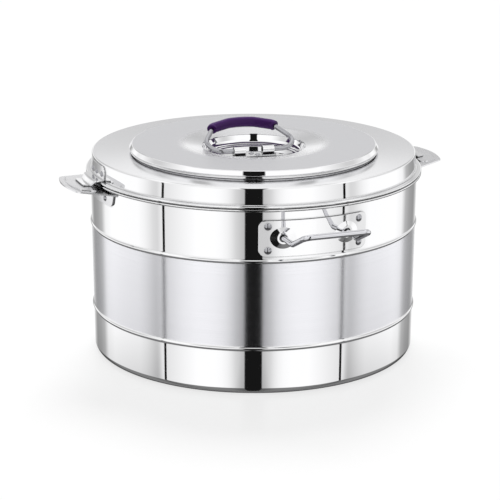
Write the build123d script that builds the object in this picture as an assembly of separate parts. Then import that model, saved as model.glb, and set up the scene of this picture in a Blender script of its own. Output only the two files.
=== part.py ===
from build123d import *
from math import acos, asin, atan, cos, radians, sin, sqrt, tan
import os

# Insulated casserole, in millimetres. +Z is up and the origin is the middle of
# the base. The ears are on +X and -X, the carrying handles on -Y and +Y.

# sheet and clearances
sheet = 0.8                 # drawn steel sheet of the shells
touch = 0.05                # gap between pieces that bear on each other
seat_gap = 0.3              # gap between the closed lid and the body
foam_gap = 0.6              # gap between foam and steel

# drum
drum_radius = 179.5         # outside, just under the rim
foot_radius = 177.8         # outside, just above the foot corner
foot_corner = 7.5
foot_lip_radius = 150.0     # inner edge of the lip that the base plate lies on
bead_heights = (51.0, 145.8)
bead_rise = 1.9             # how far each raised bead stands out
bead_half_height = 2.0
bead_round = 1.3            # at the crest
bead_foot_round = 1.6
base_panel_radius = 140.0
base_panel_height = 5.0     # the middle of the base plate is pressed up
base_plate_radius = 160.0

# rolled rims
rim_radius = 184.4          # outside of both hems
hem = 2.8                   # thickness of a folded hem
hem_leaf = 2.7              # width of the hem's return leaf
body_rim_top = 202.1

# food bowl
bowl_radius_top = 166.5
bowl_radius_foot = 164.0
bowl_floor = 24.0
bowl_corner = 30.0

# lid
skirt_radius = 178.6        # at the hem
shoulder_radius = 177.6
shoulder_height = 223.4
shoulder_round = 1.8
ring_inner_radius = 134.8   # foot of the step that carries the disc
ring_inner_height = 221.7
step_radius = 132.4         # top of that step
step_shelf_radius = 118.0
liner_radius = 164.6
liner_floor = 195.0
liner_corner = 6.0

# disc on the lid, with its dish and rolled edge
disc_top = 230.4
disc_edge_radius = 133.8    # where the satin top meets the bevel
disc_radius = 137.4
disc_bevel_foot = 225.0
disc_hem_foot = 224.6
disc_hem_radius = 134.9
dish_radius = 80.0          # the dish starts here and falls to the cup
dish_height = 230.0
dish_round = 55.0
disc_hole_radius = 57.1
disc_hole_height = 226.3

# handle cup
cup_radius_top = 56.9
cup_radius_foot = 53.8      # the wall flares
cup_floor = 215.6
cup_corner = 6.5
cup_rim_round = 0.5
cup_flange_radius = 66.0

# lid handle (bail): corners of half of its wire, across and up from the hinge
bail_yaw = -4.5             # the bracket is fixed slightly off the ears' line
bail_lean = 69.0            # at rest, backwards from upright
wire_radius = 2.7
bail_corner = (60.9, 0.0)
bail_shoulder = (34.8, 47.4)
bail_crown = (14.9, 55.2)
bail_apex = (0.0, 57.3)
bail_corner_round = 17.9
bail_shoulder_round = 6.2
bail_crown_round = 22.0
bail_apex_round = 85.0
bail_end = 12.0             # the wire's ends stop inside the knuckles
grip_radius = 5.7
grip_tail = 3.4             # how far the sleeve reaches down the wire's side from the shoulder
grip_end_round = 0.8

# bail bracket
strap = 1.4
knuckle_inner = 9.8
knuckle_outer = 22.9
knuckle_clearance = 0.05    # radial, round the wire
knuckle_overlap = 0.2       # how deep the curl is pressed into the strap
strap_front = 11.0          # how far the strap reaches in front of the hinge
strap_round = 3.0
bail_rivet_across = 2.7
bail_rivet_along = 3.2

# ears
ear_sheet = 1.6
ear_root_half = 48.0        # at the drum
ear_tip_half = 34.5         # where the sides meet the curved end
ear_tip_x = 212.6
ear_tip_round = 10.0
ear_nose_x = 220.4          # where the end's two tangents cross
ear_nose_round = 100.0
ear_tuck = 12.0             # the plate is drawn this far into the drum, then trimmed to it
ear_rise = 5.2              # degrees, outwards and up
ear_root_top = 197.8        # upper face at the drum
ear_flange_foot = 182.5
ear_flange_half = 46.0
ear_flange_foot_half = 42.0
ear_flange_round = 7.0
ear_panel_rise = 1.2
ear_panel_inset = 6.0
ear_panel_start = 188.5
ear_panel_round = 6.0
ear_panel_slope = 35.0      # degrees
ear_rivet_y = 27.0
ear_rivet_z = 189.0

# lid brackets
tab_sheet = 1.5
tab_bend = 2.0
tab_plate_top = 221.0
tab_plate_half = 21.5
tab_plate_round = 7.0
tab_shelf_height = 205.6    # underside where it crosses the rim
tab_shelf_end = 188.4
tab_drop_end = 192.0
tab_end_x = 199.8
tab_end_half = 15.5
tab_end_round = 3.0
tab_rivet_z = 212.6
tab_rivet_pitch = 16.0

# carrying handles
plate_sheet = 1.6
plate_half = 59.5
plate_foot = 151.5
plate_top = 189.4
plate_round = 7.0
plate_rivet_x = 50.5
plate_rivet_z = (158.0, 183.5)
boss_radius = 11.4          # very low boss round each end of the rod
boss_top_radius = 6.4
boss_rise = 1.1
boss_round = 5.0
boss_root = 1.0             # how deep the boss is drawn into the curved plate
boss_hole_radius = 4.2
boss_z = 171.2
rod_x = 35.3
rod_radius = 3.0
rod_head_radius = 5.4       # the rod's ends are peened flat behind the bosses
rod_head = 0.8
rod_knee_y = 204.0          # where the rod turns up
rod_bar_y = 237.0
rod_bar_z = 186.8
rod_knee_round = 7.0
rod_corner_round = 8.0

# rivets: head radius, head height, shank radius
plate_rivet = (4.0, 1.9, 2.0)
small_rivet = (3.2, 1.6, 1.6)
rivet_tail = 1.0

# derived
ear_sides = ((180, "left"), (0, "right"))        # turn about Z from +X
handle_sides = ((0, "front"), (180, "back"))     # turn about Z from -Y
lid_rim_foot = body_rim_top + seat_gap
lid_rim_top = lid_rim_foot + hem
body_hem_foot = body_rim_top - hem
slot = hem - 2 * sheet      # space inside a hem, for the edge that it grips
hem_inside = rim_radius - hem / 2 - touch   # how far that edge reaches
knuckle_radius = wire_radius + knuckle_clearance + strap
hinge_height = cup_floor + touch + strap + knuckle_radius - knuckle_overlap
plate_face = drum_radius + touch + plate_sheet


# ---------- drawing helpers ----------

def drum_wall(height):
    # outside radius of the tapered drum at a height
    share = (body_hem_foot - height) / (body_hem_foot - foot_corner)
    return drum_radius + (foot_radius - drum_radius) * share


def skirt_wall(height):
    # outside radius of the lid's skirt at a height
    share = (height - lid_rim_top) / (shoulder_height - lid_rim_top)
    return skirt_radius + (shoulder_radius - skirt_radius) * share


def under_dish(radius):
    # height of the disc's lower face above a radius near the cup
    fall = (dish_height - disc_hole_height) / (dish_radius - disc_hole_radius)
    return disc_hole_height + fall * (radius - disc_hole_radius) - sheet * sqrt(1 + fall ** 2)


def rounded(corners, radii, close=False):
    # wire through corners, each corner rounded by its own radius
    points = [Vector(*corner) for corner in corners]
    count = len(points)
    edges = []
    start = None
    first = None
    for index, point in enumerate(points):
        at_end = not close and index in (0, count - 1)
        if at_end or radii[index] == 0:
            entry = leave = point
            arc = None
        else:
            back = (points[index - 1] - point).normalized()
            ahead = (points[(index + 1) % count] - point).normalized()
            half = acos(max(-1.0, min(1.0, back.dot(ahead)))) / 2
            reach = radii[index] / tan(half)
            entry = point + back * reach
            leave = point + ahead * reach
            middle = (back + ahead).normalized()
            crown = point + middle * (radii[index] / sin(half) - radii[index])
            arc = Edge.make_three_point_arc(entry, crown, leave)
        if start is None:
            first = entry
        elif (entry - start).length > 1e-6:
            edges.append(Edge.make_line(start, entry))
        if arc is not None:
            edges.append(arc)
        start = leave
    if close and (first - start).length > 1e-6:
        edges.append(Edge.make_line(start, first))
    return Wire(edges)


def turned(corners):
    # solid of revolution from a closed outline of (radius, height, rounding)
    outline = rounded([(r, 0, z) for r, z, _ in corners], [c[2] for c in corners], True)
    return revolve(Face(outline), Axis.Z, 360)


def inner_side(corners, thickness):
    # the same path one sheet thickness to the left of its direction
    points = [Vector(r, z) for r, z, _ in corners]
    headings = [(b - a).normalized() for a, b in zip(points, points[1:])]
    result = []
    for index, point in enumerate(points):
        before = headings[max(index - 1, 0)]
        after = headings[min(index, len(headings) - 1)]
        left = Vector(-before.Y - after.Y, before.X + after.X).normalized()
        shift = thickness / (left.X * -after.Y + left.Y * after.X)
        turn = before.X * after.Y - before.Y * after.X
        radius = corners[index][2]
        if radius or turn < 0:
            radius = max(radius - thickness if turn > 0 else radius + thickness, 0)
        moved = point + left * shift
        result.append((moved.X, moved.Y, radius if 0 < index < len(points) - 1 else 0))
    return result


def pressing(corners, thickness=sheet, arc=360):
    # turned sheet: corners follow its outer face, with the steel on the left
    loop = [(r, z, radius) for r, z, radius in corners]
    loop += reversed(inner_side(corners, thickness))
    outline = rounded([(r, 0, z) for r, z, _ in loop], [c[2] for c in loop], True)
    return revolve(Face(outline), Axis.Z, arc)


def hem_fold(foot, inward):
    # the three outer corners of a folded hem, from its foot leaf upwards
    bend = hem / 2
    return [(rim_radius - inward, foot, 0), (rim_radius, foot, bend), (rim_radius, foot + hem, bend)]


def placed(shape, angle):
    return shape.rotate(Axis.Z, angle)


def drilled(shape, holes):
    for hole in holes:
        shape = shape - hole
    return shape


def as_one(shape):
    # a node's shape as its plain solid
    solids = shape.solids()
    return solids[0] if len(solids) == 1 else Compound(children=solids)


def along(position, direction):
    # plane whose +Z points in the given direction
    return Plane(origin=position, z_dir=direction)


def rivet(position, direction, size, grip):
    # snap-head rivet: head outside, shank through the grip, flat tail behind
    head_radius, head_height, shank_radius = size
    ball = (head_radius ** 2 + head_height ** 2) / (2 * head_height)
    plane = along(position, direction)
    head = Sphere(ball).moved(Location((0, 0, head_height - ball)))
    head = head & Cylinder(head_radius, head_height, align=(Align.CENTER, Align.CENTER, Align.MIN))
    shank = Cylinder(shank_radius, grip, align=(Align.CENTER, Align.CENTER, Align.MAX))
    tail = Cylinder(head_radius * 0.85, rivet_tail, align=(Align.CENTER, Align.CENTER, Align.MAX))
    body = head + shank + tail.moved(Location((0, 0, -grip)))
    return as_one(plane.location * body)


def rivet_hole(position, direction, size, depth):
    return along(position, direction).location * Cylinder(size[2] + touch, 2 * depth)


# ---------- body ----------

def drum_corners():
    bead_steps = ((-1, 0, bead_foot_round), (0, bead_rise, bead_round), (1, 0, bead_foot_round))
    corners = [(foot_lip_radius, 0, 0), (foot_radius, 0, foot_corner)]
    for height in bead_heights:
        for step, out, radius in bead_steps:
            level = height + step * bead_half_height
            corners.append((drum_wall(level) + out, level, radius))
    flange = body_hem_foot + sheet + (slot - sheet) / 2
    corners += [(drum_radius, flange, 1.0), (hem_inside, flange, 0)]
    return corners


def outer_shell(holes):
    return drilled(pressing(drum_corners()), holes)


def base_plate():
    top = sheet + touch
    corners = [(0, base_panel_height, 0), (base_panel_radius, base_panel_height, 2.0)]
    corners += [(base_panel_radius + 6, top, 2.0), (base_plate_radius, top, 0)]
    return pressing(corners)


def inner_bowl():
    corners = [(0, bowl_floor, 0), (bowl_radius_foot, bowl_floor, bowl_corner)]
    corners += [(bowl_radius_top, body_rim_top, 1.5), (rim_radius, body_rim_top, hem / 2)]
    corners += [(rim_radius, body_hem_foot, hem / 2), (rim_radius - hem_leaf, body_hem_foot, 0)]
    outer = [(r, z, radius) for r, z, radius in reversed(corners)]
    return pressing(outer)


def body_insulation():
    gap = sheet + foam_gap
    wall_foot = foot_radius - gap
    foot = base_panel_height + gap
    top = body_hem_foot
    corners = [(0, foot, 0), (wall_foot - 6, foot, 3), (wall_foot - 1.6, foot + 6, 3)]
    corners += [(drum_radius - 3.6, top, 0), (bowl_radius_top + gap, top, 0)]
    corners += [(bowl_radius_foot + gap, bowl_floor - gap, bowl_corner + gap)]
    corners += [(0, bowl_floor - gap, 0)]
    return turned(corners)


# ---------- ears ----------

def ear_outline(inset, start, start_round=0):
    # plan outline of one ear, pointing to +X, drawn in by the inset
    closing = (ear_root_half - ear_tip_half) / (ear_tip_x - drum_radius)
    foot = start + inset * sin(atan(closing))
    near = ear_root_half - closing * (foot - drum_radius)
    path = [(foot, -near, 0), (ear_tip_x, -ear_tip_half, ear_tip_round)]
    path += [(ear_nose_x, 0, ear_nose_round)] + [(x, -y, radius) for x, y, radius in reversed(path)]
    path = inner_side(path, inset)
    radii = [start_round] + [radius for _, _, radius in path[1:-1]] + [start_round]
    return Face(rounded([(x, y, 0) for x, y, _ in path], radii, True))


def ear(holes):
    # plate that rises outwards, with a flange down the drum
    hinge = Location((drum_radius, 0, ear_root_top)) * Location((0, 0, 0), (0, -ear_rise, 0))

    def leaned(shape):
        return hinge * Location((-drum_radius, 0, 0)) * shape

    plate = leaned(extrude(ear_outline(0, drum_radius - ear_tuck), -ear_sheet))
    panel_face = ear_outline(ear_panel_inset, ear_panel_start, ear_panel_round)
    panel = extrude(panel_face, ear_panel_rise, taper=ear_panel_slope)
    pocket_face = ear_outline(ear_panel_inset + 1.0, ear_panel_start + 1.0, ear_panel_round)
    pocket = extrude(pocket_face, ear_panel_rise, taper=ear_panel_slope)
    plate = plate + leaned(panel)
    plate = plate - leaned(Location((0, 0, -ear_sheet)) * pocket)
    wall = drum_radius + touch
    flange_face = [(wall, ear_flange_foot), (wall + ear_sheet, ear_flange_foot)]
    flange_face += [(wall + ear_sheet, ear_root_top - 0.6), (wall, ear_root_top - 0.6)]
    ring = turned([(r, z, 0) for r, z in flange_face])
    shape = [(ear_flange_foot_half, ear_flange_foot), (ear_flange_half, ear_root_top)]
    corners = [(-shape[0][0], shape[0][1]), shape[0], shape[1], (-shape[1][0], shape[1][1])]
    radii = [ear_flange_round, ear_flange_round, 0, 0]
    front = Face(rounded([(0, y, z) for y, z in corners], radii, True))
    flange = ring & extrude(front, drum_radius * 1.2, dir=(1, 0, 0))
    drum = Cylinder(wall, 2 * ear_nose_x)
    return drilled(plate + flange - drum, holes)


def ear_rivet_places():
    # positions and outward directions of the two rivets of the +X ear
    places = []
    for y in (-ear_rivet_y, ear_rivet_y):
        angle = asin(y / drum_radius)
        outward = Vector(cos(angle), sin(angle), 0)
        face = drum_radius + touch + ear_sheet
        places.append((outward * face + Vector(0, 0, ear_rivet_z), outward))
    return places


# ---------- lid brackets ----------

def ear_panel_height(x):
    # height of the raised panel's face above a distance x from the axis
    along_plate = (x - drum_radius) * tan(radians(ear_rise))
    return ear_root_top + along_plate + ear_panel_rise / cos(radians(ear_rise))


def tab_bracket(holes):
    # plate on the skirt, shelf over the rim, then a step down onto the ear
    wall_foot = skirt_wall(tab_shelf_height) + touch
    above = tab_plate_top + 6
    rest = seat_gap
    corners = [(tab_end_x + 4, ear_panel_height(tab_end_x + 4) + rest, 0)]
    corners += [(tab_drop_end, ear_panel_height(tab_drop_end) + rest, tab_bend)]
    corners += [(tab_shelf_end, tab_shelf_height, tab_bend), (wall_foot, tab_shelf_height, tab_bend)]
    corners += [(skirt_wall(above) + touch, above, 0)]
    strip = pressing([(r, z, radius) for r, z, radius in reversed(corners)], tab_sheet)
    plan = [(drum_radius - 30, tab_plate_half), (tab_shelf_end - 2, tab_plate_half)]
    plan += [(tab_drop_end + 1, tab_end_half), (tab_end_x, tab_end_half)]
    plan += [(x, -y) for x, y in reversed(plan)]
    radii = [0, 4, 4, tab_end_round, tab_end_round, 4, 4, 0]
    plan_face = Face(rounded([(x, y, 0) for x, y in plan], radii, True))
    front = [(-tab_plate_half - 1, 190), (tab_plate_half + 1, 190)]
    front += [(tab_plate_half + 1, lid_rim_top), (tab_plate_half, lid_rim_top)]
    front += [(tab_plate_half, tab_plate_top), (-tab_plate_half, tab_plate_top)]
    front += [(-tab_plate_half, lid_rim_top), (-tab_plate_half - 1, lid_rim_top)]
    radii = [0, 0, 0, 0, tab_plate_round, tab_plate_round, 0, 0]
    front_face = Face(rounded([(0, y, z) for y, z in front], radii, True))
    trimmed = strip & extrude(plan_face, 2 * shoulder_height, dir=(0, 0, 1))
    trimmed = trimmed & extrude(front_face, ear_nose_x, dir=(1, 0, 0))
    return drilled(trimmed, holes)


def tab_rivet_places():
    lean = skirt_wall(1) - skirt_wall(0)
    face = skirt_wall(tab_rivet_z) + touch + tab_sheet * sqrt(1 + lean ** 2)
    places = []
    for y in (-tab_rivet_pitch, 0, tab_rivet_pitch):
        angle = asin(y / face)
        outward = Vector(cos(angle), sin(angle), 0)
        places.append((outward * face + Vector(0, 0, tab_rivet_z), outward - Vector(0, 0, lean)))
    return places


# ---------- carrying handles ----------

def plate_blank():
    # the plate facing -Y: it follows the drum, then runs straight out from the rivets
    angle = asin(plate_rivet_x / plate_face)
    outward = Vector(sin(angle), -cos(angle), 0)
    onward = Vector(cos(angle), sin(angle), 0) * plate_half
    edges = []
    tips = []
    for radius in (plate_face, plate_face - plate_sheet):
        turn = outward * radius
        tip = turn + onward
        mirrored = Vector(-turn.X, turn.Y, 0)
        mirrored_tip = Vector(-tip.X, tip.Y, 0)
        edges.append(Edge.make_line(mirrored_tip, mirrored))
        edges.append(Edge.make_three_point_arc(mirrored, Vector(0, -radius, 0), turn))
        edges.append(Edge.make_line(turn, tip))
        tips.append((mirrored_tip, tip))
    edges += [Edge.make_line(tips[0][side], tips[1][side]) for side in (0, 1)]
    strip = extrude(Face(Wire(edges)), plate_top - plate_foot, dir=(0, 0, 1))
    corners = [(-plate_half, plate_foot), (plate_half, plate_foot)]
    corners += [(plate_half, plate_top), (-plate_half, plate_top)]
    face = Face(rounded([(x, 0, z) for x, z in corners], [plate_round] * 4, True))
    return Location((0, 0, plate_foot)) * strip & extrude(face, 1.2 * plate_face, dir=(0, -1, 0))


def boss_place(side):
    # where a boss stands on the plate's face, and the way it points
    angle = side * asin(rod_x / (plate_face + boss_rise))
    outward = Vector(sin(angle), -cos(angle), 0)
    return outward * plate_face + Vector(0, 0, boss_z), outward


def boss(inset, sunk=boss_root):
    # cone with a flat top, reaching under the plate; the inset gives its hollow
    slope = (boss_radius - boss_top_radius) / boss_rise
    path = [(boss_radius + slope * sunk, -sunk, 0), (boss_top_radius, boss_rise, boss_round)]
    path = inner_side(path + [(0, boss_rise, 0)], inset)
    return turned(path + [(0, path[0][1], 0)])


def carry_plate(holes):
    # the right half with its boss and eye, and its mirror image
    span = 3 * plate_half
    half = plate_blank() & Box(span, 3 * plate_face, 3 * plate_top, align=(Align.MIN, Align.CENTER, Align.CENTER))
    position, outward = boss_place(1)
    place = along(position, outward).location
    half = half + place * boss(0) - place * boss(plate_sheet, boss_root + plate_sheet)
    eye = Cylinder(boss_hole_radius, 4 * plate_sheet, rotation=(90, 0, 0))
    half = half - Location((rod_x, position.Y, boss_z)) * eye
    return drilled(half + half.mirror(Plane.YZ), holes)


def carry_handle():
    # bent rod: straight out of both bosses, up a slope and across
    heads = []
    behind = []
    for side in (-1, 1):
        position, outward = boss_place(side)
        back = position + outward * (boss_rise - plate_sheet - touch - rod_head)
        place = along(back, outward).location
        head = Cylinder(rod_head_radius, rod_head, align=(Align.CENTER, Align.CENTER, Align.MIN))
        heads.append(place * head)
        spare = Cylinder(rod_head_radius, rod_head_radius, align=(Align.CENTER, Align.CENTER, Align.MAX))
        behind.append(place * spare)
    corners = [(-rod_x, back.Y + rod_head, boss_z), (-rod_x, -rod_knee_y, boss_z)]
    corners += [(-rod_x, -rod_bar_y, rod_bar_z)]
    corners += [(-x, y, z) for x, y, z in reversed(corners)]
    radii = [0, rod_knee_round, rod_corner_round, rod_corner_round, rod_knee_round, 0]
    path = rounded(corners, radii)
    section = Plane(origin=corners[0], z_dir=(0, -1, 0)) * Circle(rod_radius)
    rod = sweep(section, path=path)
    for head in heads:
        rod = rod + head
    return as_one(drilled(rod, behind))


def plate_rivet_places():
    places = []
    for x in (-plate_rivet_x, plate_rivet_x):
        angle = asin(x / plate_face)
        outward = Vector(sin(angle), -cos(angle), 0)
        places += [(outward * plate_face + Vector(0, 0, z), outward) for z in plate_rivet_z]
    return places


# ---------- lid ----------

def lid_shell(holes):
    corners = hem_fold(lid_rim_foot, hem_leaf)
    corners += [(skirt_radius, lid_rim_top, 1.0), (shoulder_radius, shoulder_height, shoulder_round)]
    corners += [(ring_inner_radius, ring_inner_height, 1.2)]
    shelf = dish_height - sheet
    corners += [(step_radius, shelf, 1.5), (step_shelf_radius, shelf, 0)]
    return drilled(pressing(corners), holes)


def lid_disc():
    corners = [(disc_hem_radius, disc_hem_foot, 0), (disc_radius, disc_bevel_foot, 0.9)]
    corners += [(disc_edge_radius, disc_top, 1.2), (dish_radius, dish_height, dish_round)]
    corners += [(disc_hole_radius, disc_hole_height, 0)]
    return pressing(corners)


def handle_cup(holes):
    edge = under_dish(cup_flange_radius) - touch
    rim = under_dish(cup_radius_top) - touch
    corners = [(cup_flange_radius, edge, 0), (cup_radius_top, rim, cup_rim_round)]
    corners += [(cup_radius_foot, cup_floor, cup_corner), (0, cup_floor, 0)]
    return drilled(pressing(corners), holes)


def lid_liner():
    flange = lid_rim_foot + sheet + (slot - sheet) / 2
    corners = [(0, liner_floor, 0), (liner_radius - 0.4, liner_floor, liner_corner)]
    corners += [(liner_radius, flange, 1.5), (hem_inside, flange, 0)]
    return pressing(corners)


def lid_insulation():
    gap = sheet + foam_gap
    foot = liner_floor + gap
    over_flange = lid_rim_top + foam_gap
    corners = [(0, foot, 0), (liner_radius - gap - 0.4, foot, 5), (liner_radius - gap, over_flange, 0)]
    corners += [(shoulder_radius - 3.2, over_flange, 0)]
    corners += [(shoulder_radius - 3.2, shoulder_height - gap - 0.4, 3)]
    corners += [(step_radius - gap - 0.8, ring_inner_height - gap, 0)]
    corners += [(step_radius - gap - 0.8, disc_top - 3.6, 2)]
    corners += [(dish_radius, dish_height - 3.6, 10), (cup_flange_radius + 2, disc_hole_height - 3.4, 0)]
    corners += [(cup_radius_top + 2, disc_hole_height - 4.0, 0), (cup_radius_top + 2, cup_floor - 2.4, 5)]
    corners += [(0, cup_floor - 2.4, 0)]
    return turned(corners)


# ---------- lid handle ----------

def bail_route(start):
    # wire path in the bail's own plane: across X, up Z, hinge on the X axis
    half = [(start, 0), bail_corner, bail_shoulder, bail_crown]
    radii = [0, bail_corner_round, bail_shoulder_round, bail_crown_round]
    corners = half + [bail_apex] + [(-x, z) for x, z in reversed(half)]
    return [(x, 0, z) for x, z in corners], radii + [bail_apex_round] + radii[::-1]


def leaned_back(shape):
    hinge = Location((0, 0, hinge_height), (0, 0, bail_yaw))
    return hinge * Location((0, 0, 0), (-bail_lean, 0, 0)) * shape


def bail_wire():
    corners, radii = bail_route(bail_end)
    path = rounded(corners, radii)
    section = Plane(origin=corners[0], z_dir=(1, 0, 0)) * Circle(wire_radius)
    return as_one(leaned_back(sweep(section, path=path)))


def bail_grip():
    # sleeve over the crown of the wire, down past both shoulders
    low = Vector(*bail_corner)
    high = Vector(*bail_shoulder)
    heading = (high - low).normalized()
    start = high - heading * grip_tail
    corners, radii = bail_route(0)
    corners = [(start.X, 0, start.Y)] + corners[2:-2] + [(-start.X, 0, start.Y)]
    path = rounded(corners, [0] + radii[2:-2] + [0])
    plane = Plane(origin=corners[0], z_dir=(heading.X, 0, heading.Y))
    sleeve = sweep(plane * Circle(grip_radius), path=path)
    rims = sleeve.edges().filter_by(GeomType.CIRCLE)
    ring_edges = [edge for edge in rims if abs(edge.radius - grip_radius) < 1e-3 and edge.is_closed]
    sleeve = fillet(ring_edges, grip_end_round)
    bore = sweep(plane * Circle(wire_radius + touch), path=path)
    return as_one(leaned_back(sleeve - bore))


def bail_bracket(holes):
    # strap on the cup's floor whose ends curl over the wire
    bore = wire_radius + knuckle_clearance
    curl = knuckle_radius
    rise = hinge_height - cup_floor - touch
    outline = [(-knuckle_outer, -strap_front), (knuckle_outer, -strap_front)]
    outline += [(knuckle_outer, curl), (-knuckle_outer, curl)]
    face = Face(rounded([(x, y, 0) for x, y in outline], [strap_round, strap_round, 0, 0], True))
    body = Location((0, 0, cup_floor + touch)) * extrude(face, strap)
    length = knuckle_outer - knuckle_inner
    middle = (knuckle_outer + knuckle_inner) / 2
    for side in (-1, 1):
        barrel = Cylinder(curl, length, rotation=(0, 90, 0))
        web = Box(length, strap, rise, align=(Align.CENTER, Align.MAX, Align.MAX))
        knuckle = barrel + Location((0, curl, 0)) * web
        body = body + Location((side * middle, 0, hinge_height)) * knuckle
    hole = Cylinder(bore, 3 * knuckle_outer, rotation=(0, 90, 0))
    body = body - Location((0, 0, hinge_height)) * hole
    return drilled(placed(body, bail_yaw), holes)


def bail_rivet_places():
    places = []
    face = cup_floor + touch + strap
    for side in (-1, 1):
        spot = Vector(side * bail_rivet_across, -side * bail_rivet_along - 3.0, face)
        places.append((spot.rotate(Axis.Z, bail_yaw), Vector(0, 0, 1)))
    return places


# ---------- assembly ----------

def holes_at(places, size, depth=6.0):
    return [rivet_hole(position, outward, size, depth) for position, outward in places]


def rivets_at(places, size, grip):
    return [rivet(position, outward, size, grip) for position, outward in places]


def turned_by(shapes, angle):
    return [placed(shape, angle) for shape in shapes]


def both(shapes):
    return turned_by(shapes, 0) + turned_by(shapes, 180)


def make_nodes():
    ear_places = ear_rivet_places()
    tab_places = tab_rivet_places()
    plate_places = plate_rivet_places()
    bail_places = bail_rivet_places()
    ear_holes = holes_at(ear_places, small_rivet)
    tab_holes = holes_at(tab_places, small_rivet)
    plate_holes = holes_at(plate_places, plate_rivet)
    bail_holes = holes_at(bail_places, small_rivet, 4.0)
    behind = touch + sheet      # the shell under a fitting
    ear_rivets = both(rivets_at(ear_places, small_rivet, ear_sheet + behind + 0.4))
    tab_rivets = both(rivets_at(tab_places, small_rivet, tab_sheet + behind + 0.3))
    plate_rivets = both(rivets_at(plate_places, plate_rivet, plate_sheet + behind + 0.6))
    bail_rivets = rivets_at(bail_places, small_rivet, strap + behind)

    nodes = {
        "outer_shell": outer_shell(both(ear_holes) + both(plate_holes)),
        "base_plate": base_plate(),
        "inner_bowl": inner_bowl(),
        "body_insulation": body_insulation(),
        "ear_rivets": Compound(children=ear_rivets),
        "carry_plate_rivets": Compound(children=plate_rivets),
        "lid_shell": lid_shell(both(tab_holes)),
        "lid_disc": lid_disc(),
        "handle_cup": handle_cup(bail_holes),
        "lid_liner": lid_liner(),
        "lid_insulation": lid_insulation(),
        "lid_bracket_rivets": Compound(children=tab_rivets),
        "bail_bracket": bail_bracket(bail_holes),
        "bail_bracket_rivets": Compound(children=bail_rivets),
        "bail_wire": bail_wire(),
        "bail_grip": bail_grip(),
    }
    for angle, side in ear_sides:
        nodes["ear_" + side] = placed(ear(ear_holes), angle)
        nodes["lid_bracket_" + side] = placed(tab_bracket(tab_holes), angle)
    for angle, side in handle_sides:
        nodes["carry_plate_" + side] = placed(carry_plate(plate_holes), angle)
        nodes["carry_handle_" + side] = placed(carry_handle(), angle)
    return nodes


os.makedirs("parts", exist_ok=True)
for name, shape in make_nodes().items():
    piece = as_one(shape)
    piece.label = name
    export_step(piece, "parts/" + name + ".step")
    print(name, len(shape.solids()), "solids", round(shape.volume), "mm3")
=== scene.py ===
import math
import bmesh
import bpy
from mathutils import Matrix, Vector


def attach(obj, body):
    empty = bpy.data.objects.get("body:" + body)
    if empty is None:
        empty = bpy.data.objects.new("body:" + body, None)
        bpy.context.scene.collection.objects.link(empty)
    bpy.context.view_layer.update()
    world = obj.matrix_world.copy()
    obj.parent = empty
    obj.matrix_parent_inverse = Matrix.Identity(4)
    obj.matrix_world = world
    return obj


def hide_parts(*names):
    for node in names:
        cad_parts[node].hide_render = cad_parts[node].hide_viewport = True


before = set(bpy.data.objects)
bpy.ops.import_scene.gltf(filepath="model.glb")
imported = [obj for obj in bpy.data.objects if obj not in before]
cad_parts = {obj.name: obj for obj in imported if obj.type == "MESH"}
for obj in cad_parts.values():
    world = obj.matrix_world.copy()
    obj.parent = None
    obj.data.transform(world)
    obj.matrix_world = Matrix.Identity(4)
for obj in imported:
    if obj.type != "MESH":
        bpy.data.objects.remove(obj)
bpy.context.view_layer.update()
scene = bpy.context.scene
mm = 0.001
print("frame loaded")

camera = {
    "place": (-0.7505, -1.9654, 0.7196),  # m
    "target": (0.0, 0.0, 0.099),
    "lens": 141.26,              # mm
    "sensor": 36.0,              # mm
    "picture": 500,              # pixels, a square
    "centre": (253.30, 256.23),  # pixel of the target
    "roll": 0.228,               # degrees
}


def makeCamera(values):
    data = bpy.data.cameras.new("camera")
    data.lens = values["lens"]
    data.sensor_width = values["sensor"]
    half = values["picture"] / 2
    data.shift_x = (half - values["centre"][0]) / values["picture"]
    data.shift_y = (values["centre"][1] - half) / values["picture"]
    place = Vector(values["place"])
    aim = (Vector(values["target"]) - place).to_track_quat("-Z", "Y").to_matrix().to_4x4()
    roll = Matrix.Rotation(math.radians(values["roll"]), 4, "Z")
    eye = bpy.data.objects.new("camera", data)
    eye.matrix_world = Matrix.Translation(place) @ aim @ roll
    scene.collection.objects.link(eye)
    scene.camera = eye


makeCamera(camera)
scene.view_settings.view_transform = "Standard"
print("camera placed")


def linearColour(hexCode):
    # sRGB hex value to the linear colour that shaders use
    parts = [int(hexCode[i:i + 2], 16) / 255 for i in (1, 3, 5)]
    return [p / 12.92 if p <= 0.04045 else ((p + 0.055) / 1.055) ** 2.4 for p in parts] + [1.0]


def addNode(tree, kind, settings=None, links=None):
    # one shader node; a setting is an attribute or an input's value, a link is a node or (node, output)
    node = tree.nodes.new("ShaderNode" + kind)
    for name, value in (settings or {}).items():
        if isinstance(name, int) or name in node.inputs:
            node.inputs[name].default_value = value
        else:
            setattr(node, name, value)
    for name, link in (links or {}).items():
        source, output = link if isinstance(link, tuple) else (link, 0)
        tree.links.new(source.outputs[output], node.inputs[name])
    return node


def setStops(node, stops):
    # the stops of a colour ramp, each (position, grey level)
    ramp = node.color_ramp
    ramp.interpolation = "LINEAR"
    while len(ramp.elements) > 1:
        ramp.elements.remove(ramp.elements[-1])
    first, *rest = stops
    ramp.elements[0].position = first[0]
    ramp.elements[0].color = (first[1],) * 3 + (1,)
    for position, level in rest:
        ramp.elements.new(position).color = (level,) * 3 + (1,)


def newMaterial(name):
    material = bpy.data.materials.new(name)
    material.use_nodes = True
    material.node_tree.nodes.clear()
    return material, material.node_tree


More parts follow.
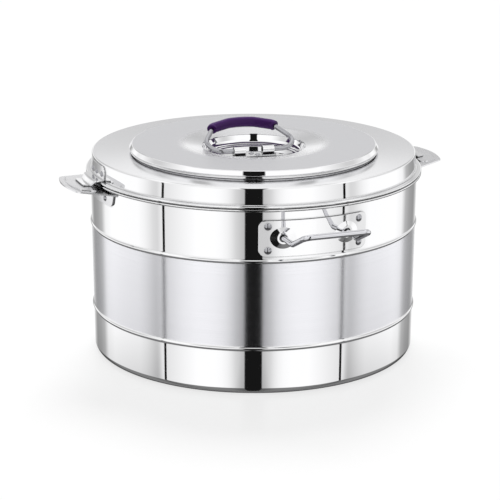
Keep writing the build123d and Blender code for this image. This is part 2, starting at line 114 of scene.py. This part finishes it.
# studio: a white room that only reflections show. Levels are shares of white, azimuths are degrees to
# either side of the viewer's side, and heights are degrees above the horizon
studio = {
    "faces": -20.9,               # degrees from -Y to the viewer's side
    "gain": 1.24,                 # soft boxes are brighter than the white of the picture
    "fill": 0.35,                 # light on the floor and the sleeve from all round
    # level by azimuth, below the horizon
    "walls": [(6.4, 0.50), (12, 0.66), (15, 0.80), (18, 0.90), (22, 0.97), (27, 1.0), (40, 1.0), (50, 0.91),
              (57, 0.84), (64, 0.77), (67.5, 0.79), (70.5, 0.67), (74, 0.71), (78, 0.82), (82, 0.91),
              (88, 0.99), (118, 1.0), (128, 0.89), (135, 0.46), (143, 0.34), (154, 0.28), (160, 0.45),
              (170, 0.75), (180, 0.85)],
    # level by height, above the horizon; a grey strip parts the wall lights from the top light
    "front": [(5, 0.95), (8, 0.66), (14, 0.58), (17, 0.66), (20, 1.0), (57, 1.0), (60, 0.50), (65, 0.50),
              (69, 1.0)],
    "sides": [(3, 0.55), (8, 1.0), (18, 0.9), (26, 0.62), (42, 0.62), (52, 1.0), (57, 1.0), (60, 0.50),
              (65, 0.50), (69, 1.0)],
    "back": [(3, 0.85), (9, 0.98), (11.3, 0.88), (13, 0.61), (16.5, 0.60), (20, 0.50), (23, 0.46),
             (28, 0.56), (36, 1.0), (57, 1.0), (60, 0.50), (65, 0.50), (69, 1.0)],
    "horizon": (0.0, 5.0),        # heights between which the walls give way to the lights
    "sidesFrom": (74.0, 104.0),   # azimuths between which the front gives way to the sides
    "backFrom": (128.0, 150.0),   # and the sides to the back
}
# black flags that give the polished steel its dark stripes
flags = {
    "level": 0.008,
    "wide": (-5.9, 6.4),          # azimuths of the left and right edge of the wide one in front
    "wideTop": 62.0,
    "wideSoft": 0.4,              # half the width of its soft edge
    "opens": (51.0, 0.46),        # at this height azimuths count 0.46 times, so it is over twice as wide
    "slit": (64.2, 66.1),         # edges of the thin one on each side
    "slitTop": 14.0,
}
# the pot's own shadow on the floor, as the polished steel reflects it
ownShadow = {
    "level": 0.20,                # share of the light that is left in it
    "heights": (-31.0, -26.0),    # full shadow, and where it ends
    "flanks": (52.0, 72.0),       # azimuths over which the shadow comes to reach further out
    "flankRise": 7.5,             # by this many degrees of height
    "front": (34.0, 8.0),         # the same beside the wide flag
    "frontRise": 6.0,
}


def lookedAt(tree, values):
    # azimuth and height of the direction that a ray goes in
    direction = addNode(tree, "TexCoord")
    turned = addNode(tree, "VectorRotate",
                     {"rotation_type": "Z_AXIS", "Angle": math.radians(-values["faces"])},
                     {"Vector": (direction, "Generated")})
    axes = addNode(tree, "SeparateXYZ", {}, {"Vector": turned})
    towards = addNode(tree, "Math", {"operation": "MULTIPLY", 1: -1.0}, {0: (axes, "Y")})
    turn = addNode(tree, "Math", {"operation": "ARCTAN2"}, {0: (axes, "X"), 1: towards})
    azimuth = addNode(tree, "Math", {"operation": "DEGREES"}, {0: turn})
    rise = addNode(tree, "Math", {"operation": "ARCSINE"}, {0: (axes, "Z")})
    height = addNode(tree, "Math", {"operation": "DEGREES"}, {0: rise})
    return azimuth, height


def roomLevel(tree, values, away, height):
    levels = {}
    for name, angle, full in (("walls", away, 180.0), ("front", height, 90.0), ("sides", height, 90.0),
                              ("back", height, 90.0)):
        share = addNode(tree, "Math", {"operation": "DIVIDE", 1: full}, {0: angle})
        levels[name] = addNode(tree, "ValToRGB", {}, {"Fac": share})
        setStops(levels[name], [(at / full, level) for at, level in values[name]])
    lights = levels["front"]
    for name, reach in (("sides", values["sidesFrom"]), ("back", values["backFrom"])):
        share = addNode(tree, "MapRange", {"From Min": reach[0], "From Max": reach[1]}, {"Value": away})
        lights = addNode(tree, "Mix", {"data_type": "FLOAT"}, {0: share, 2: lights, 3: levels[name]})
    low, high = values["horizon"]
    share = addNode(tree, "MapRange", {"From Min": low, "From Max": high}, {"Value": height})
    return addNode(tree, "Mix", {"data_type": "FLOAT"}, {0: share, 2: levels["walls"], 3: lights})


def shadowLevel(tree, values, away, height):
    for reach, rise in ((values["flanks"], values["flankRise"]), (values["front"], values["frontRise"])):
        drop = addNode(tree, "MapRange", {"From Min": reach[0], "From Max": reach[1], "To Max": rise},
                       {"Value": away})
        height = addNode(tree, "Math", {"operation": "SUBTRACT"}, {0: height, 1: drop})
    low, high = values["heights"]
    return addNode(tree, "MapRange", {"From Min": low, "From Max": high, "To Min": values["level"]},
                   {"Value": height})


def flagCover(tree, values, azimuth, away, height):
    # 1 where a flag stands, 0 beside it
    top, count = values["opens"]
    narrowing = addNode(tree, "MapRange", {"From Max": top, "To Min": 1.0, "To Max": count},
                        {"Value": height})
    across = addNode(tree, "Math", {"operation": "MULTIPLY"}, {0: azimuth, 1: narrowing})
    left, right = values["wide"]
    soft = values["wideSoft"]
    wide = [addNode(tree, "MapRange", {"From Min": low, "From Max": high}, {"Value": across})
            for low, high in ((left - soft, left + soft), (right + soft, right - soft))]
    wide.append(addNode(tree, "Math", {"operation": "LESS_THAN", 1: values["wideTop"]}, {0: height}))
    inner, outer = values["slit"]
    tests = (("GREATER_THAN", inner, away), ("LESS_THAN", outer, away),
             ("LESS_THAN", values["slitTop"], height))
    slit = [addNode(tree, "Math", {"operation": test, 1: edge}, {0: angle}) for test, edge, angle in tests]
    covers = []
    for cover, *limits in (wide, slit):
        for limit in limits:
            cover = addNode(tree, "Math", {"operation": "MULTIPLY"}, {0: cover, 1: limit})
        covers.append(cover)
    return addNode(tree, "Math", {"operation": "MAXIMUM"}, {0: covers[0], 1: covers[1]})


def makeWorld(values):
    world = bpy.data.worlds.new("studio")
    world.use_nodes = True
    tree = world.node_tree
    tree.nodes.clear()
    azimuth, height = lookedAt(tree, values)
    away = addNode(tree, "Math", {"operation": "ABSOLUTE"}, {0: azimuth})
    lit = addNode(tree, "Math", {"operation": "MULTIPLY"},
                  {0: roomLevel(tree, values, away, height), 1: shadowLevel(tree, ownShadow, away, height)})
    flagged = addNode(tree, "Mix", {"data_type": "FLOAT", 3: flags["level"]},
                      {0: flagCover(tree, flags, azimuth, away, height), 2: lit})
    reflected = addNode(tree, "Math", {"operation": "MULTIPLY", 1: values["gain"]}, {0: flagged})
    path = addNode(tree, "LightPath")
    plain = addNode(tree, "Mix", {"data_type": "FLOAT", 2: values["fill"], 3: 1.0},
                    {0: (path, "Is Camera Ray")})
    level = addNode(tree, "Mix", {"data_type": "FLOAT"},
                    {0: (path, "Is Glossy Ray"), 2: plain, 3: reflected})
    light = addNode(tree, "Background", {"Strength": 1.0}, {"Color": level})
    addNode(tree, "OutputWorld", {}, {"Surface": light})
    scene.world = world


makeWorld(studio)

# soft light from behind, for the floor and the sleeve only: the steel shows the studio alone
backLight = {
    "azimuth": 159.1,            # degrees from -Y
    "height": 55.0,
    "strength": 2.5,
    "spread": 24.0,              # degrees across, for a soft shadow
}


def makeBackLight(values):
    data = bpy.data.lights.new("backLight", "SUN")
    data.energy = values["strength"]
    data.angle = math.radians(values["spread"])
    lamp = bpy.data.objects.new("backLight", data)
    azimuth, height = math.radians(values["azimuth"]), math.radians(values["height"])
    flat = math.cos(height)
    away = Vector((math.sin(azimuth) * flat, -math.cos(azimuth) * flat, math.sin(height)))
    lamp.rotation_euler = (-away).to_track_quat("-Z", "Y").to_euler()
    lamp.visible_glossy = False
    scene.collection.objects.link(lamp)


makeBackLight(backLight)

# white acrylic sheet lit from below, with a dull gloss round the pot
floorSheet = {
    "side": 8.0,                  # m
    "below": 0.0002,              # m under the pot, so that the two don't share a plane
    "white": "#FAFAFA",
    "glow": 0.77,                 # share of the sheet that shows as plain white
    "boost": 1.03,
    "polish": 0.06,               # mirror share at the foot of the pot
    "polishReach": (0.19, 0.31),  # m from the middle, where it starts to fade and where it ends
    "blur": 0.22,
}


def acrylicSheet(values):
    material, tree = newMaterial("whiteAcrylicSheet")
    coordinate = addNode(tree, "TexCoord")
    flat = addNode(tree, "VectorMath", {"operation": "MULTIPLY", 1: (1, 1, 0)}, {0: (coordinate, "Object")})
    reach = addNode(tree, "VectorMath", {"operation": "LENGTH"}, {0: flat})
    low, high = values["polishReach"]
    near = addNode(tree, "MapRange",
                   {"From Min": low, "From Max": high, "To Min": values["polish"], "To Max": 0.0},
                   {"Value": (reach, "Value")})
    plain = addNode(tree, "BsdfDiffuse", {"Color": linearColour(values["white"])})
    glow = addNode(tree, "Emission", {"Color": (1, 1, 1, 1), "Strength": values["boost"]})
    path = addNode(tree, "LightPath")
    shown = addNode(tree, "Math", {"operation": "MULTIPLY", 1: values["glow"]}, {0: (path, "Is Camera Ray")})
    base = addNode(tree, "MixShader", {}, {0: shown, 1: plain, 2: glow})
    gloss = addNode(tree, "BsdfGlossy", {"Roughness": values["blur"], "Color": (1, 1, 1, 1)})
    surface = addNode(tree, "MixShader", {}, {0: near, 1: base, 2: gloss})
    addNode(tree, "OutputMaterial", {}, {"Surface": surface})
    return material


def makeFloor(values):
    half = values["side"] / 2
    mesh = bpy.data.meshes.new("studioFloor")
    mesh.from_pydata([(-half, -half, 0), (half, -half, 0), (half, half, 0), (-half, half, 0)], [],
                     [(0, 1, 2, 3)])
    mesh.materials.append(acrylicSheet(values))
    floor = bpy.data.objects.new("studioFloor", mesh)
    floor.location.z = -values["below"]
    floor.visible_glossy = False
    scene.collection.objects.link(floor)


makeFloor(floorSheet)
print("studio ready")

# drawn and polished stainless steel: a near-perfect mirror, faintly uneven from buffing
polish = {
    "steel": "#E8E8E9",
    "roughness": 0.02,
    "haze": 0.02,                # how much rougher the buffing marks are
    "hazeSize": 14.0,            # mm
    "hazeSpan": (0.35, 0.75),    # noise values from no mark to a full one
    "seamPaintedShade": "#5A5A5C",          # painted shade: colour that darkens the steel in seams and corners, where shade falls
    "seam": 2.5,                 # mm, how far it reaches
    "seamShare": (0.35, 0.92),   # openness between which the painted shade gives way to plain steel
}
# pressed plates: polished too, and their deburred edges, 0.35 mm round, catch the light
pressedPolish = dict(polish, roughness=0.05, edge=0.35)
# ears: pressed and left satin, so their highlights are soft
earSatin = dict(polish, steel="#DADADC", roughness=0.22, haze=0.04)
# bent rod of the carrying handles, polished by hand
rodPolish = dict(polish, steel="#D2D2D6", roughness=0.08)
# wire of the lid handle, and rivets: left as drawn, a little darker
drawnWire = dict(polish, steel="#A6A6AA", roughness=0.12)

# satin band: the same steel rubbed with fine abrasive while the drum turns, lines round the drum
satinBand = {
    "steel": "#EAEAEE",
    "roughness": 0.175,
    "stretch": 0.99,             # how far the lines stretch the blur, of 1
    "turn": 0.25,                # the blur runs up and down, across the lines
    "lineSpacing": 0.5,          # mm, coarser than real so that it shows
    "lineDepth": 0.004,          # mm
}
# spun satin: the disc is rubbed in circles, so highlights turn into wedges
spunSatin = {
    "flat": True,
    "steel": "#E2E2E4",
    "roughness": 0.22,
    "stretch": 0.80,             # how far the lines stretch the blur, of 1
    "turn": 0.25,                # the blur runs outwards, across the lines
    "plain": 0.32,               # roughness where the lines are rubbed crosswise as well
    "plainSteel": "#D6D6D9",
    "fade": (74.0, 86.0),        # mm from the middle, from spun to cross-rubbed
    "lineSpacing": 0.45,         # mm, coarser than real so that it shows
    "lineDepth": 0.004,          # mm
}
# outer ring of the lid: fine satin, nearly a mirror
ringSatin = {
    "flat": True,
    "steel": "#E4E4E6",
    "roughness": 0.12,
    "lineSpacing": 0.5,          # mm, coarser than real so that it shows
    "lineDepth": 0.003,          # mm
}
# what all rubbed steel has in common
rubbing = {
    "driftSize": 1000 / 6,       # mm over which a line wavers
    "span": (0.3, 0.7),          # noise values from the finest line to the coarsest
    "uneven": 0.15,              # share by which the roughness differs from line to line
}

# inside and underneath: rolled sheet with its mill finish, a soft even grey
rolledSheet = {
    "colour": "#EEEEEF",
    "shade": "#E6E6E8",
    "grain": 2.0,                # mm
    "roughness": 0.24,
    "metallic": 1.0,
}
# moulded plastic sleeve of the lid handle: smooth dark purple with a weak sheen
sleeve = {
    "colour": "#4B146E",
    "shade": "#3E0E5A",
    "grain": 0.6,                # mm
    "depth": 0.01,               # mm
    "roughness": 0.36,
    "shine": 0.25,
}
# rigid polyurethane foam between the sheets: yellow, with small cells
foam = {
    "colour": "#D8C48A",
    "shade": "#C9B274",
    "grain": 1.5,                # mm
    "depth": 0.3,                # mm
    "roughness": 0.9,
}


def polishedSteel(name, values):
    material, tree = newMaterial(name)
    coordinate = addNode(tree, "TexCoord")
    marks = addNode(tree, "TexNoise",
                    {"Scale": 1 / (values["hazeSize"] * mm), "Detail": 3.0, "Roughness": 0.6},
                    {"Vector": (coordinate, "Object")})
    low, high = values["hazeSpan"]
    rough = addNode(tree, "MapRange",
                    {"From Min": low, "From Max": high, "To Min": values["roughness"],
                     "To Max": values["roughness"] + values["haze"]}, {"Value": (marks, "Fac")})
    # painted shade: ambient occlusion darkens the base colour in seams and corners, standing in for their
    # shadow
    exposure = addNode(tree, "AmbientOcclusion", {"samples": 6, "Distance": values["seam"] * mm})
    low, high = values["seamShare"]
    unshaded = addNode(tree, "MapRange", {"From Min": low, "From Max": high}, {"Value": (exposure, "AO")})
    tone = addNode(tree, "Mix",
                   {"data_type": "RGBA", 6: linearColour(values["seamPaintedShade"]), 7: linearColour(values["steel"])},
                   {0: unshaded})
    steel = addNode(tree, "BsdfPrincipled", {"Metallic": 1.0}, {"Base Color": (tone, 2), "Roughness": rough})
    if "edge" in values:
        rounded = addNode(tree, "Bevel", {"samples": 6, "Radius": values["edge"] * mm})
        tree.links.new(rounded.outputs[0], steel.inputs["Normal"])
    addNode(tree, "OutputMaterial", {}, {"Surface": steel})
    return material


def rubbedSteel(name, values):
    # on a flat face the lines run in circles about Z, on a wall they run round it
    material, tree = newMaterial(name)
    coordinate = addNode(tree, "TexCoord")
    if values.get("flat"):
        flat = addNode(tree, "VectorMath", {"operation": "MULTIPLY", 1: (1, 1, 0)},
                       {0: (coordinate, "Object")})
        across = (addNode(tree, "VectorMath", {"operation": "LENGTH"}, {0: flat}), "Value")
    else:
        across = (addNode(tree, "SeparateXYZ", {}, {"Vector": (coordinate, "Object")}), "Z")
    scaled = addNode(tree, "Math", {"operation": "DIVIDE", 1: values["lineSpacing"] * mm}, {0: across})
    drift = addNode(tree, "TexNoise", {"Scale": 1 / (rubbing["driftSize"] * mm), "Detail": 1.0},
                    {"Vector": (coordinate, "Object")})
    place = addNode(tree, "CombineXYZ", {}, {"X": scaled, "Y": (drift, "Fac")})
    lines = addNode(tree, "TexNoise",
                    {"noise_dimensions": "2D", "Scale": 1.0, "Detail": 4.0, "Roughness": 0.7},
                    {"Vector": place})
    bump = addNode(tree, "Bump", {"Strength": 1.0, "Distance": values["lineDepth"] * mm},
                   {"Height": (lines, "Fac")})
    low, high = rubbing["span"]
    smoothest, roughest = [values["roughness"] * (1 + side * rubbing["uneven"]) for side in (-1, 1)]
    rough = addNode(tree, "MapRange",
                    {"From Min": low, "From Max": high, "To Min": smoothest, "To Max": roughest},
                    {"Value": (lines, "Fac")})
    settings = {"Base Color": linearColour(values["steel"]), "Metallic": 1.0}
    links = {"Roughness": rough, "Normal": bump}
    if "stretch" in values:
        settings["Anisotropic"] = values["stretch"]
        settings["Anisotropic Rotation"] = values["turn"]
        links["Tangent"] = addNode(tree, "Tangent", {"direction_type": "RADIAL", "axis": "Z"})
    steel = addNode(tree, "BsdfPrincipled", settings, links)
    if "fade" in values:
        inner, outer = values["fade"]
        fading = addNode(tree, "MapRange", {"From Min": inner * mm, "From Max": outer * mm},
                         {"Value": across})
        plain = addNode(tree, "BsdfPrincipled",
                        {"Base Color": linearColour(values["plainSteel"]), "Metallic": 1.0,
                         "Roughness": values["plain"]}, {"Normal": bump})
        steel = addNode(tree, "MixShader", {}, {0: fading, 1: steel, 2: plain})
    addNode(tree, "OutputMaterial", {}, {"Surface": steel})
    return material


def grainedMaterial(name, values):
    # an even material with a fine two-tone grain
    material, tree = newMaterial(name)
    coordinate = addNode(tree, "TexCoord")
    grain = addNode(tree, "TexNoise", {"Scale": 1 / (values["grain"] * mm), "Detail": 4.0},
                    {"Vector": (coordinate, "Object")})
    tone = addNode(tree, "Mix",
                   {"data_type": "RGBA", 6: linearColour(values["colour"]), 7: linearColour(values["shade"])},
                   {0: (grain, "Fac")})
    body = addNode(tree, "BsdfPrincipled",
                   {"Metallic": values.get("metallic", 0.0), "Roughness": values["roughness"],
                    "Specular IOR Level": values.get("shine", 0.5)}, {"Base Color": (tone, 2)})
    if "depth" in values:
        bump = addNode(tree, "Bump", {"Strength": 1.0, "Distance": values["depth"] * mm},
                       {"Height": (grain, "Fac")})
        tree.links.new(bump.outputs[0], body.inputs["Normal"])
    addNode(tree, "OutputMaterial", {}, {"Surface": body})
    return material


mirror = polishedSteel("polishedStainlessSteel", polish)
plateSteel = polishedSteel("polishedPressedSteel", pressedPolish)
earSteel = polishedSteel("satinPressedSteel", earSatin)
rodSteel = polishedSteel("polishedSteelRod", rodPolish)
wireSteel = polishedSteel("drawnSteelWire", drawnWire)
band = rubbedSteel("satinStainlessBand", satinBand)
spun = rubbedSteel("spunSatinSteel", spunSatin)
ring = rubbedSteel("fineSatinSteel", ringSatin)
millSheet = grainedMaterial("rolledSteelSheet", rolledSheet)
purple = grainedMaterial("mouldedPurpleSleeve", sleeve)
yellowFoam = grainedMaterial("rigidFoam", foam)
print("materials made")

# the pressed and spun sheet pieces, all in mm and degrees
sheet = {
    "thickness": 0.8,            # of every piece
    "gap": 0.05,                 # between sheets that lie on each other
    "segments": 288,             # round the axis
    "bendStep": 8.0,             # degrees of a bend from one point to the next
    "bendMargin": 0.15,          # a point this far before and after each bend keeps flat runs flat
    "sharp": 40.0,               # edges that turn more than this are shaded as edges
    "weld": 0.0001,              # points closer than this are one point
}


def roundedPath(corners):
    # points of a closed path whose corners, each (r, z, radius), are bent to their radius
    points = []
    for index, (r, z, radius) in enumerate(corners):
        here = Vector((r, z))
        if radius == 0:
            points.append(here)
            continue
        back = (Vector(corners[index - 1][:2]) - here).normalized()
        ahead = (Vector(corners[(index + 1) % len(corners)][:2]) - here).normalized()
        half = math.acos(max(-1, min(1, back.dot(ahead)))) / 2
        reach = radius / math.tan(half)
        centre = here + (back + ahead).normalized() * radius / math.sin(half)
        start = here + back * reach - centre
        sweep = math.pi - 2 * half
        sign = 1 if back.x * ahead.y - back.y * ahead.x < 0 else -1
        pieces = max(2, math.ceil(math.degrees(sweep) / sheet["bendStep"]))
        points.append(here + back * (reach + sheet["bendMargin"]))
        for part in range(pieces + 1):
            angle = sign * sweep * part / pieces
            c, s = math.cos(angle), math.sin(angle)
            points.append(centre + Vector((start.x * c - start.y * s, start.x * s + start.y * c)))
        points.append(here + ahead * (reach + sheet["bendMargin"]))
    return [(point.x, point.y) for point in points]


def otherFace(corners):
    # the corners one sheet thickness to the left of the path, from its end back to its start
    thickness = sheet["thickness"]
    points = [Vector(corner[:2]) for corner in corners]
    headings = [(b - a).normalized() for a, b in zip(points, points[1:])]
    moved = []
    for index, point in enumerate(points):
        before = headings[max(index - 1, 0)]
        after = headings[min(index, len(headings) - 1)]
        left = Vector((-before.y - after.y, before.x + after.x)).normalized()
        shift = thickness / (-left.x * after.y + left.y * after.x)
        turn = before.x * after.y - before.y * after.x
        radius = corners[index][2]
        if radius or turn < 0:
            # a bend to the left is tighter on this face, and a bend to the right wider
            radius = max(radius - thickness if turn > 0 else radius + thickness, 0)
        place = point + left * shift
        moved.append((place.x, place.y, radius))
    return moved[::-1]


def turnedPiece(name, corners, body, node, materials, finish=None):
    # sheet turned about Z; finish(r, z, faceNormal) gives the number of a face's material
    outline = roundedPath(corners + otherFace(corners))
    count, segments = len(outline), sheet["segments"]
    vertices = []
    faces = []
    for step in range(segments):
        angle = 2 * math.pi * step / segments
        c, s = math.cos(angle), math.sin(angle)
        vertices += [(max(r, 0) * c * mm, max(r, 0) * s * mm, z * mm) for r, z in outline]
        here, there = step * count, (step + 1) % segments * count
        for low in range(count):
            high = (low + 1) % count
            faces.append((here + low, there + low, there + high, here + high))
    mesh = bpy.data.meshes.new(name)
    mesh.from_pydata(vertices, [], faces)
    work = bmesh.new()
    work.from_mesh(mesh)
    bmesh.ops.remove_doubles(work, verts=work.verts, dist=sheet["weld"] * mm)
    bmesh.ops.recalc_face_normals(work, faces=work.faces)
    for face in work.faces:
        face.smooth = True
        if finish:
            centre = face.calc_center_median()
            face.material_index = finish(centre.xy.length / mm, centre.z / mm, face.normal)
    work.to_mesh(mesh)
    work.free()
    mesh.set_sharp_from_angle(angle=math.radians(sheet["sharp"]))
    for material in materials:
        mesh.materials.append(material)
    piece = bpy.data.objects.new(name, mesh)
    scene.collection.objects.link(piece)
    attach(piece, body)
    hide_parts(node)


# the fold that closes a rim; the drum's and the lid's are the same, in mm
hem = {
    "radius": 184.4,             # outside
    "height": 2.8,
    "leaf": 2.7,                 # width of the leaf that is folded under
}
# drum: outer face, foot to rim, in mm
drum = {
    "radiusTop": 179.5, "radiusFoot": 177.8, "footRound": 7.5, "top": 202.1,
    "lip": 150.0,                # inner edge of the ring that it stands on
    "beads": (51.0, 145.8), "beadRise": 1.9, "beadHalf": 2.0, "beadRound": 1.3, "beadFootRound": 1.6,
    "edgeRound": 1.0,            # where the wall turns out into the hem
    "bandMargin": 0.6,           # polished strip between a bead and the satin
    "underside": 2.0,            # below this height both faces are polished
    "upright": 0.5,              # a wall's normal has more than this in the squares of x and y
}


def makeDrum(values):
    foot = values["top"] - hem["height"]

    def wall(z):
        share = (foot - z) / (foot - values["footRound"])
        return values["radiusTop"] + (values["radiusFoot"] - values["radiusTop"]) * share

    corners = [(values["lip"], 0, 0), (values["radiusFoot"], 0, values["footRound"])]
    beadFoot = values["beadFootRound"]
    steps = ((-1, 0, beadFoot), (0, values["beadRise"], values["beadRound"]), (1, 0, beadFoot))
    for height in values["beads"]:
        for side, out, radius in steps:
            z = height + side * values["beadHalf"]
            corners.append((wall(z) + out, z, radius))
    edge = foot + sheet["thickness"] + sheet["gap"]
    inHem = hem["radius"] - hem["height"] / 2 - sheet["gap"]
    corners += [(values["radiusTop"], edge, values["edgeRound"]), (inHem, edge, 0)]
    margin = values["beadHalf"] + values["bandMargin"]
    low, high = values["beads"][0] + margin, values["beads"][1] - margin

    def finish(r, z, normal):
        middle = wall(z) - sheet["thickness"] / 2
        if normal.x ** 2 + normal.y ** 2 > values["upright"] and low < z < high and r > middle:
            return 1
        return 2 if r < middle and z > values["underside"] else 0

    turnedPiece("drumShell", corners, "body", "outer_shell", [mirror, band, millSheet], finish)


makeDrum(drum)

# food bowl, mm; its rim is folded round the drum's edge
bowl = {
    "radiusTop": 166.5, "radiusFoot": 164.0, "floor": 24.0, "floorRound": 30.0, "rimRound": 1.5,
    "polishFrom": 1.0,           # outside the wall's top
}


def makeBowl(values):
    rim, top = hem["radius"], drum["top"]
    corners = [(rim - hem["leaf"], top - hem["height"], 0), (rim, top - hem["height"], hem["height"] / 2),
               (rim, top, hem["height"] / 2), (values["radiusTop"], top, values["rimRound"]),
               (values["radiusFoot"], values["floor"], values["floorRound"]), (0, values["floor"], 0)]

    def finish(r, z, normal):
        return 0 if r > values["radiusTop"] + values["polishFrom"] else 1

    turnedPiece("bowlWithRim", corners, "body", "inner_bowl", [mirror, millSheet], finish)


makeBowl(bowl)

# base plate, mm: a raised panel inside the ring that the drum stands on
basePlate = {"panel": 140.0, "rise": 5.0, "slope": 6.0, "radius": 160.0, "bend": 2.0}


def makeBase(values):
    low = sheet["thickness"] + sheet["gap"]
    corners = [(0, values["rise"], 0), (values["panel"], values["rise"], values["bend"]),
               (values["panel"] + values["slope"], low, values["bend"]), (values["radius"], low, 0)]
    turnedPiece("basePlate", corners, "body", "base_plate", [millSheet])


makeBase(basePlate)
print("body made")

# lid: skirt with its hem, outer ring and the step up to the disc, in mm
lid = {
    "foot": 202.4, "skirt": 178.6, "skirtRound": 1.0,
    "shoulder": 177.6, "shoulderTop": 223.4, "shoulderRound": 1.8,
    "ringInner": 134.8, "ringInnerTop": 221.7, "ringRound": 1.2, "step": 132.4, "stepRound": 1.5,
    "shelf": 118.0,              # inner edge, under the disc
    "satinMargin": 1.5,          # the shoulder's polish comes this far in
    "level": 0.9,                # a level face's normal points up more than this
}
# liner: the pan under the lid, which fits the bowl, in mm
liner = {"radius": 164.6, "taper": 0.4, "floor": 195.0, "floorRound": 6.0, "rimRound": 1.5}
# disc: raised plate with a bevelled edge and a dish in the middle, in mm
disc = {
    "top": 230.4, "edge": 133.8, "edgeRound": 1.2, "radius": 137.4, "bevelFoot": 225.0, "bevelRound": 0.9,
    "hemFoot": 224.6, "hemRadius": 134.9,
    "dish": 80.0, "dishTop": 230.0, "dishRound": 55.0, "hole": 57.1, "holeTop": 226.3,
    "polishMargin": 0.5,         # the bevel's polish comes this far in
}
# cup for the handle, in mm
cup = {
    "radiusTop": 56.9, "radiusFoot": 53.8, "floor": 215.6, "floorRound": 6.5,
    "flange": 66.0, "rimRound": 0.5,
}


def makeLid(values):
    rim, foot = hem["radius"], values["foot"]
    top = foot + hem["height"]
    shelf = disc["dishTop"] - sheet["thickness"]
    corners = [(rim - hem["leaf"], foot, 0), (rim, foot, hem["height"] / 2), (rim, top, hem["height"] / 2),
               (values["skirt"], top, values["skirtRound"]),
               (values["shoulder"], values["shoulderTop"], values["shoulderRound"]),
               (values["ringInner"], values["ringInnerTop"], values["ringRound"]),
               (values["step"], shelf, values["stepRound"]), (values["shelf"], shelf, 0)]

    def finish(r, z, normal):
        onRing = values["ringInner"] < r < values["shoulder"] - values["satinMargin"]
        return 1 if normal.z > values["level"] and onRing else 0

    turnedPiece("lidShell", corners, "lid", "lid_shell", [mirror, ring], finish)


def makeLiner(values):
    edge = lid["foot"] + sheet["thickness"] + sheet["gap"]
    inHem = hem["radius"] - hem["height"] / 2 - sheet["gap"]
    corners = [(0, values["floor"], 0),
               (values["radius"] - values["taper"], values["floor"], values["floorRound"]),
               (values["radius"], edge, values["rimRound"]), (inHem, edge, 0)]
    turnedPiece("lidLiner", corners, "lid", "lid_liner", [millSheet])


def makeDisc(values):
    corners = [(values["hemRadius"], values["hemFoot"], 0),
               (values["radius"], values["bevelFoot"], values["bevelRound"]),
               (values["edge"], values["top"], values["edgeRound"]),
               (values["dish"], values["dishTop"], values["dishRound"]),
               (values["hole"], values["holeTop"], 0)]

    def finish(r, z, normal):
        return 0 if r > values["edge"] - values["polishMargin"] or normal.z < 0 else 1

    turnedPiece("lidDisc", corners, "lid", "lid_disc", [mirror, spun], finish)


def makeCup(values):
    # the flange lies under the disc's dish and has its slope
    fall = (disc["dishTop"] - disc["holeTop"]) / (disc["dish"] - disc["hole"])
    under = sheet["thickness"] * math.sqrt(1 + fall ** 2) + sheet["gap"]
    outer, inner = [disc["holeTop"] + fall * (r - disc["hole"]) - under
                    for r in (values["flange"], values["radiusTop"])]
    corners = [(values["flange"], outer, 0), (values["radiusTop"], inner, values["rimRound"]),
               (values["radiusFoot"], values["floor"], values["floorRound"]), (0, values["floor"], 0)]
    turnedPiece("handleCup", corners, "lid", "handle_cup", [mirror])


makeLid(lid)
makeLiner(liner)
makeDisc(disc)
makeCup(cup)
print("lid made")

# finishes of the solids that keep their own shape
finishes = [
    (earSteel, ["ear_left", "ear_right"]),
    (plateSteel, ["carry_plate_front", "carry_plate_back", "lid_bracket_left", "lid_bracket_right",
                  "bail_bracket"]),
    (rodSteel, ["carry_handle_front", "carry_handle_back"]),
    (wireSteel, ["bail_wire", "ear_rivets", "carry_plate_rivets", "lid_bracket_rivets",
                 "bail_bracket_rivets"]),
    (purple, ["bail_grip"]),
    (yellowFoam, ["body_insulation", "lid_insulation"]),
]


def finishNodes(choices):
    for material, names in choices:
        for name in names:
            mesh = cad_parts[name].data
            mesh.materials.clear()
            mesh.materials.append(material)


finishNodes(finishes)
print("fittings finished")
